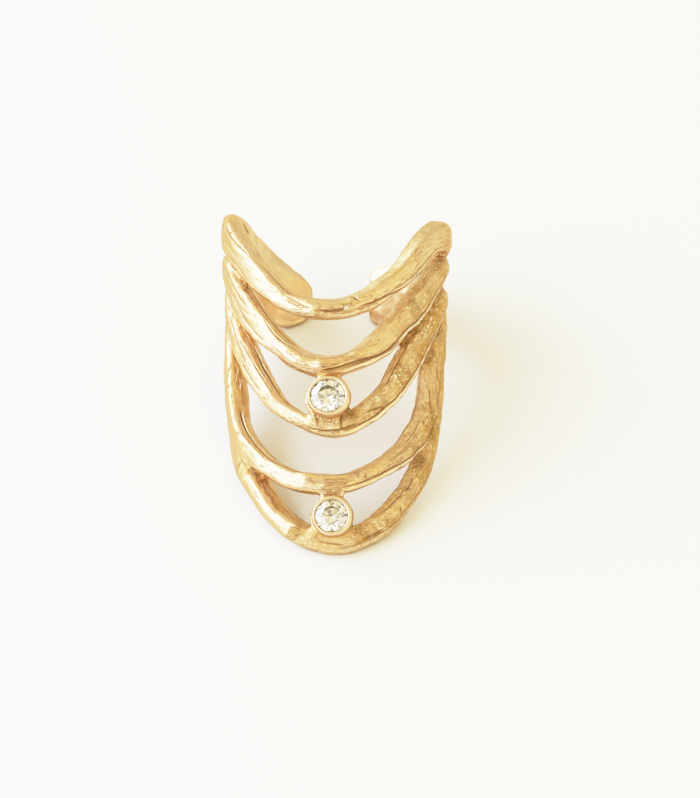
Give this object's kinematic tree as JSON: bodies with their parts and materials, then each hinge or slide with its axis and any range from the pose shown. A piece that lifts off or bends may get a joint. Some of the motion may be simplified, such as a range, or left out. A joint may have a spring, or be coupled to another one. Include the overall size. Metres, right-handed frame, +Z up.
{
  "type": "wave ring",
  "caption": "Open cast finger ring whose carved bands dip in waves across the front, with round clear stones in bezel cups",
  "frame": {"origin": "under the middle of the ring's box, on the surface that it rests on", "axes": "+Z up from the resting surface; the front with the stones faces -Y and up, the finger axis leans back towards +Y; +X is the wearer's right as the front is looked at"},
  "size_m": [0.0212, 0.0346, 0.0153],
  "materials": {
    "gold": "hand-carved, hammered and polished yellow gold",
    "clear_stone": "clear round brilliant cut"
  },
  "bodies": {
    "root": {"cast_ring": "gold", "upper_stone": "clear_stone", "lower_stone": "clear_stone"}
  },
  "joints": []
}
